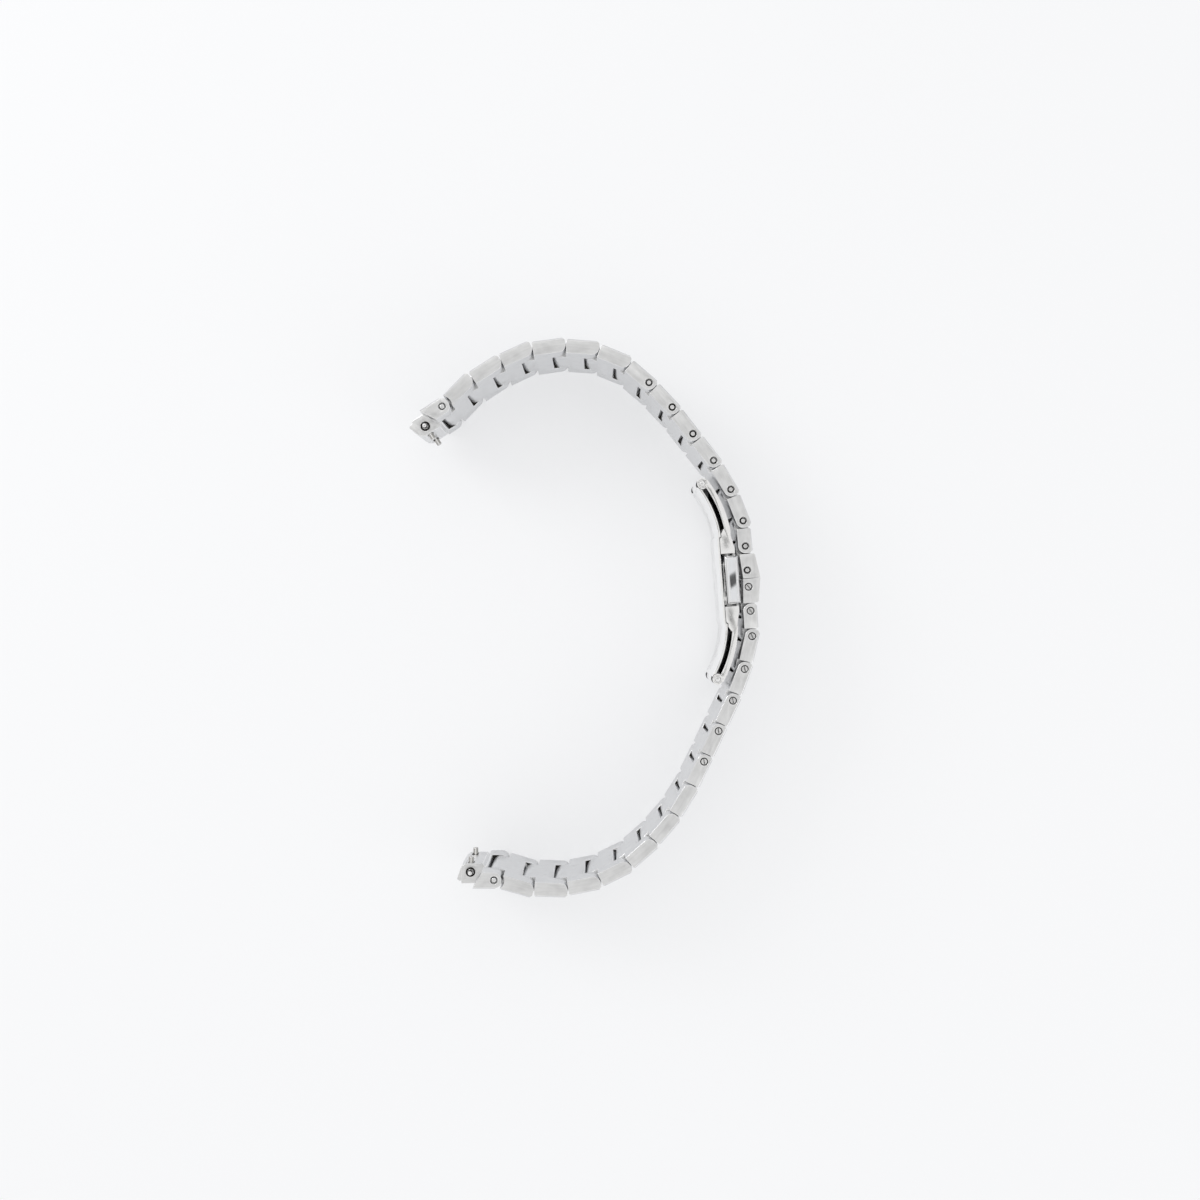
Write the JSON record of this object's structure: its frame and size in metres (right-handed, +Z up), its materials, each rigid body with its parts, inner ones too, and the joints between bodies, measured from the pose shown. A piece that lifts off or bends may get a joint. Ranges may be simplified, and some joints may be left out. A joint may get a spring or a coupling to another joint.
{
  "type": "steel watch bracelet",
  "caption": "Tapered steel watch bracelet of pinned solid links with two case end links, quick-release spring bars and a two-winged folding clasp with push buttons, standing open as a C.",
  "frame": {"origin": "middle of the footprint of the open C, on the surface that the band's edge stands on", "axes": "+Z up along the band's width and along every pin, +X from the open side of the C towards the clasp, +Y towards the 12 o'clock end link"},
  "size_m": [0.0607, 0.0953, 0.02],
  "materials": {
    "brushed_steel": "brushed",
    "polished_steel": "polished",
    "screw_steel": "turned",
    "spring_bar_steel": "turned",
    "spring_steel": "drawn wire"
  },
  "bodies": {
    "clasp": {"clasp_base": "polished_steel", "latch_housing": "polished_steel", "wing_hinge_pins": "screw_steel", "latch_spring_near": "spring_steel", "latch_spring_far": "spring_steel"},
    "upper_wing": {"upper_wing": "polished_steel"},
    "upper_cover_link": {"upper_cover_link": "brushed_steel", "upper_cover_screw": "screw_steel"},
    "upper_half_link": {"upper_half_link": "brushed_steel", "upper_half_screw": "screw_steel"},
    "upper_link_12": {"upper_link_12": "brushed_steel", "upper_screw_12": "screw_steel"},
    "upper_link_11": {"upper_link_11": "brushed_steel", "upper_screw_11": "screw_steel"},
    "upper_link_10": {"upper_link_10": "brushed_steel", "upper_screw_10": "screw_steel"},
    "upper_link_09": {"upper_link_09": "brushed_steel", "upper_screw_09": "screw_steel"},
    "upper_link_08": {"upper_link_08": "brushed_steel", "upper_screw_08": "screw_steel"},
    "upper_link_07": {"upper_link_07": "brushed_steel", "upper_screw_07": "screw_steel"},
    "upper_link_06": {"upper_link_06": "brushed_steel"},
    "upper_link_05": {"upper_link_05": "brushed_steel"},
    "upper_link_04": {"upper_link_04": "brushed_steel"},
    "upper_link_03": {"upper_link_03": "brushed_steel"},
    "upper_link_02": {"upper_link_02": "brushed_steel"},
    "upper_link_01": {"upper_link_01": "brushed_steel"},
    "upper_end_link": {"upper_end_link": "brushed_steel", "upper_spring_bar": "spring_bar_steel"},
    "upper_plunger_near": {"upper_plunger_near": "spring_bar_steel"},
    "upper_plunger_far": {"upper_plunger_far": "spring_bar_steel"},
    "lower_wing": {"lower_wing": "polished_steel"},
    "lower_cover_link": {"lower_cover_link": "brushed_steel", "lower_cover_screw": "screw_steel"},
    "lower_half_link": {"lower_half_link": "brushed_steel", "lower_half_screw": "screw_steel"},
    "lower_link_12": {"lower_link_12": "brushed_steel", "lower_screw_12": "screw_steel"},
    "lower_link_11": {"lower_link_11": "brushed_steel", "lower_screw_11": "screw_steel"},
    "lower_link_10": {"lower_link_10": "brushed_steel", "lower_screw_10": "screw_steel"},
    "lower_link_09": {"lower_link_09": "brushed_steel", "lower_screw_09": "screw_steel"},
    "lower_link_08": {"lower_link_08": "brushed_steel", "lower_screw_08": "screw_steel"},
    "lower_link_07": {"lower_link_07": "brushed_steel"},
    "lower_link_06": {"lower_link_06": "brushed_steel"},
    "lower_link_05": {"lower_link_05": "brushed_steel"},
    "lower_link_04": {"lower_link_04": "brushed_steel"},
    "lower_link_03": {"lower_link_03": "brushed_steel"},
    "lower_link_02": {"lower_link_02": "brushed_steel"},
    "lower_link_01": {"lower_link_01": "brushed_steel"},
    "lower_end_link": {"lower_end_link": "brushed_steel", "lower_spring_bar": "spring_bar_steel"},
    "lower_plunger_near": {"lower_plunger_near": "spring_bar_steel"},
    "lower_plunger_far": {"lower_plunger_far": "spring_bar_steel"},
    "push_button_near": {"push_button_near": "polished_steel"},
    "push_button_far": {"push_button_far": "polished_steel"}
  },
  "joints": [
    {"name": "upper_wing_hinge", "type": "hinge", "parent": "clasp", "child": "upper_wing", "pos_m": [0.02057, 0.02296, 0.01], "axis": [0, 0, 1], "range_deg": [0, 160]},
    {"name": "lower_wing_hinge", "type": "hinge", "parent": "clasp", "child": "lower_wing", "pos_m": [0.02321, -0.01068, 0.01], "axis": [0, 0, -1], "range_deg": [0, 160]},
    {"name": "push_button_near_press", "type": "slide", "parent": "clasp", "child": "push_button_near", "axis": [0, 0, -1], "range_m": [0, 0.0008], "stiffness_N_per_m": 800, "springref_m": -0.001, "deforming": ["latch_spring_near"]},
    {"name": "push_button_far_press", "type": "slide", "parent": "clasp", "child": "push_button_far", "axis": [0, 0, 1], "range_m": [0, 0.0008], "stiffness_N_per_m": 800, "springref_m": -0.001, "deforming": ["latch_spring_far"]},
    {"name": "upper_plunger_near_push", "type": "slide", "parent": "upper_end_link", "child": "upper_plunger_near", "axis": [0, 0, -1], "range_m": [0, 0.0011], "stiffness_N_per_m": 600, "springref_m": -0.001},
    {"name": "upper_plunger_far_push", "type": "slide", "parent": "upper_end_link", "child": "upper_plunger_far", "axis": [0, 0, 1], "range_m": [0, 0.0011], "stiffness_N_per_m": 600, "springref_m": -0.001},
    {"name": "lower_plunger_near_push", "type": "slide", "parent": "lower_end_link", "child": "lower_plunger_near", "axis": [0, 0, -1], "range_m": [0, 0.0011], "stiffness_N_per_m": 600, "springref_m": -0.001},
    {"name": "lower_plunger_far_push", "type": "slide", "parent": "lower_end_link", "child": "lower_plunger_far", "axis": [0, 0, 1], "range_m": [0, 0.0011], "stiffness_N_per_m": 600, "springref_m": -0.001},
    {"name": "upper_end_link_hinge", "type": "hinge", "parent": "upper_link_01", "child": "upper_end_link", "pos_m": [-0.02385, 0.03581, 0.01], "axis": [0, 0, -1], "range_deg": [-53, 17]},
    {"name": "lower_end_link_hinge", "type": "hinge", "parent": "lower_link_01", "child": "lower_end_link", "pos_m": [-0.01505, -0.04459, 0.01], "axis": [0, 0, 1], "range_deg": [-56, 14]},
    {"name": "upper_half_link_hinge", "type": "hinge", "parent": "upper_cover_link", "child": "upper_half_link", "pos_m": [0.02784, 0.01217, 0.01], "axis": [0, 0, 1], "range_deg": [-6, 3.5]},
    {"name": "lower_half_link_hinge", "type": "hinge", "parent": "lower_cover_link", "child": "lower_half_link", "pos_m": [0.02871, 0.00111, 0.01], "axis": [0, 0, -1], "range_deg": [-6, 3.5]},
    {"name": "upper_link_12_hinge", "type": "hinge", "parent": "upper_half_link", "child": "upper_link_12", "pos_m": [0.02742, 0.0165, 0.01], "axis": [0, 0, 1], "range_deg": [-21, 5]},
    {"name": "lower_link_12_hinge", "type": "hinge", "parent": "lower_half_link", "child": "lower_link_12", "pos_m": [0.02897, -0.00323, 0.01], "axis": [0, 0, -1], "range_deg": [-21.5, 5]},
    {"name": "upper_link_11_hinge", "type": "hinge", "parent": "upper_link_12", "child": "upper_link_11", "pos_m": [0.02531, 0.02185, 0.01], "axis": [0, 0, 1], "range_deg": [-14.5, 14]},
    {"name": "lower_link_11_hinge", "type": "hinge", "parent": "lower_link_12", "child": "lower_link_11", "pos_m": [0.02768, -0.00884, 0.01], "axis": [0, 0, -1], "range_deg": [-12.5, 14]},
    {"name": "upper_link_01_hinge", "type": "hinge", "parent": "upper_link_02", "child": "upper_link_01", "pos_m": [-0.01986, 0.03994, 0.01], "axis": [0, 0, 1], "range_deg": [-18, 27]},
    {"name": "lower_link_01_hinge", "type": "hinge", "parent": "lower_link_02", "child": "lower_link_01", "pos_m": [-0.00952, -0.04618, 0.01], "axis": [0, 0, -1], "range_deg": [-19, 26]},
    {"name": "upper_link_02_hinge", "type": "hinge", "parent": "upper_link_03", "child": "upper_link_02", "pos_m": [-0.01503, 0.04307, 0.01], "axis": [0, 0, -1], "range_deg": [-32, 13]},
    {"name": "lower_link_02_hinge", "type": "hinge", "parent": "lower_link_03", "child": "lower_link_02", "pos_m": [-0.00378, -0.04638, 0.01], "axis": [0, 0, 1], "range_deg": [-27, 18]},
    {"name": "upper_link_03_hinge", "type": "hinge", "parent": "upper_link_04", "child": "upper_link_03", "pos_m": [-0.00982, 0.0455, 0.01], "axis": [0, 0, 1], "range_deg": [-22, 23]},
    {"name": "lower_link_03_hinge", "type": "hinge", "parent": "lower_link_04", "child": "lower_link_03", "pos_m": [0.00187, -0.04528, 0.01], "axis": [0, 0, -1], "range_deg": [-20, 25]},
    {"name": "upper_link_04_hinge", "type": "hinge", "parent": "upper_link_05", "child": "upper_link_04", "pos_m": [-0.00413, 0.0463, 0.01], "axis": [0, 0, -1], "range_deg": [-28, 17]},
    {"name": "lower_link_04_hinge", "type": "hinge", "parent": "lower_link_05", "child": "lower_link_04", "pos_m": [0.00703, -0.04276, 0.01], "axis": [0, 0, 1], "range_deg": [-25, 20]},
    {"name": "upper_link_05_hinge", "type": "hinge", "parent": "upper_link_06", "child": "upper_link_05", "pos_m": [0.00161, 0.0459, 0.01], "axis": [0, 0, 1], "range_deg": [-23, 22]},
    {"name": "lower_link_05_hinge", "type": "hinge", "parent": "lower_link_06", "child": "lower_link_05", "pos_m": [0.01137, -0.03899, 0.01], "axis": [0, 0, -1], "range_deg": [-13, 32]},
    {"name": "upper_link_06_hinge", "type": "hinge", "parent": "upper_link_07", "child": "upper_link_06", "pos_m": [0.00694, 0.04375, 0.01], "axis": [0, 0, -1], "range_deg": [-21.5, 23.5]},
    {"name": "lower_link_06_hinge", "type": "hinge", "parent": "lower_link_07", "child": "lower_link_06", "pos_m": [0.01515, -0.03465, 0.01], "axis": [0, 0, 1], "range_deg": [-31, 14]},
    {"name": "upper_link_07_hinge", "type": "hinge", "parent": "upper_link_08", "child": "upper_link_07", "pos_m": [0.01131, 0.04001, 0.01], "axis": [0, 0, 1], "range_deg": [-11, 34]},
    {"name": "lower_link_07_hinge", "type": "hinge", "parent": "lower_link_08", "child": "lower_link_07", "pos_m": [0.01819, -0.02977, 0.01], "axis": [0, 0, -1], "range_deg": [-11, 34]},
    {"name": "upper_link_08_hinge", "type": "hinge", "parent": "upper_link_09", "child": "upper_link_08", "pos_m": [0.01527, 0.03584, 0.01], "axis": [0, 0, -1], "range_deg": [-34.5, 10.5]},
    {"name": "lower_link_08_hinge", "type": "hinge", "parent": "lower_link_09", "child": "lower_link_08", "pos_m": [0.02071, -0.0246, 0.01], "axis": [0, 0, 1], "range_deg": [-39.5, 5.5]},
    {"name": "upper_link_09_hinge", "type": "hinge", "parent": "upper_link_10", "child": "upper_link_09", "pos_m": [0.01881, 0.03131, 0.01], "axis": [0, 0, 1], "range_deg": [-5, 40]},
    {"name": "lower_link_09_hinge", "type": "hinge", "parent": "lower_link_10", "child": "lower_link_09", "pos_m": [0.02319, -0.01941, 0.01], "axis": [0, 0, -1], "range_deg": [-5, 40]},
    {"name": "upper_link_10_hinge", "type": "hinge", "parent": "upper_link_11", "child": "upper_link_10", "pos_m": [0.02235, 0.02678, 0.01], "axis": [0, 0, -1], "range_deg": [-33, 12]},
    {"name": "lower_link_10_hinge", "type": "hinge", "parent": "lower_link_11", "child": "lower_link_10", "pos_m": [0.02567, -0.01422, 0.01], "axis": [0, 0, 1], "range_deg": [-35, 10]},
    {"name": "upper_cover_link_hinge", "type": "hinge", "parent": "upper_wing", "child": "upper_cover_link", "pos_m": [0.02816, 0.00806, 0.01], "axis": [0, 0, -1], "range_deg": [0, 128]},
    {"name": "lower_cover_link_hinge", "type": "hinge", "parent": "lower_wing", "child": "lower_cover_link", "pos_m": [0.02838, 0.00522, 0.01], "axis": [0, 0, 1], "range_deg": [0, 128]}
  ],
  "couplings": [
    {"joint": "upper_wing_hinge", "follows": "upper_cover_link_hinge", "ratio": 1.25},
    {"joint": "lower_wing_hinge", "follows": "lower_cover_link_hinge", "ratio": 1.25}
  ]
}
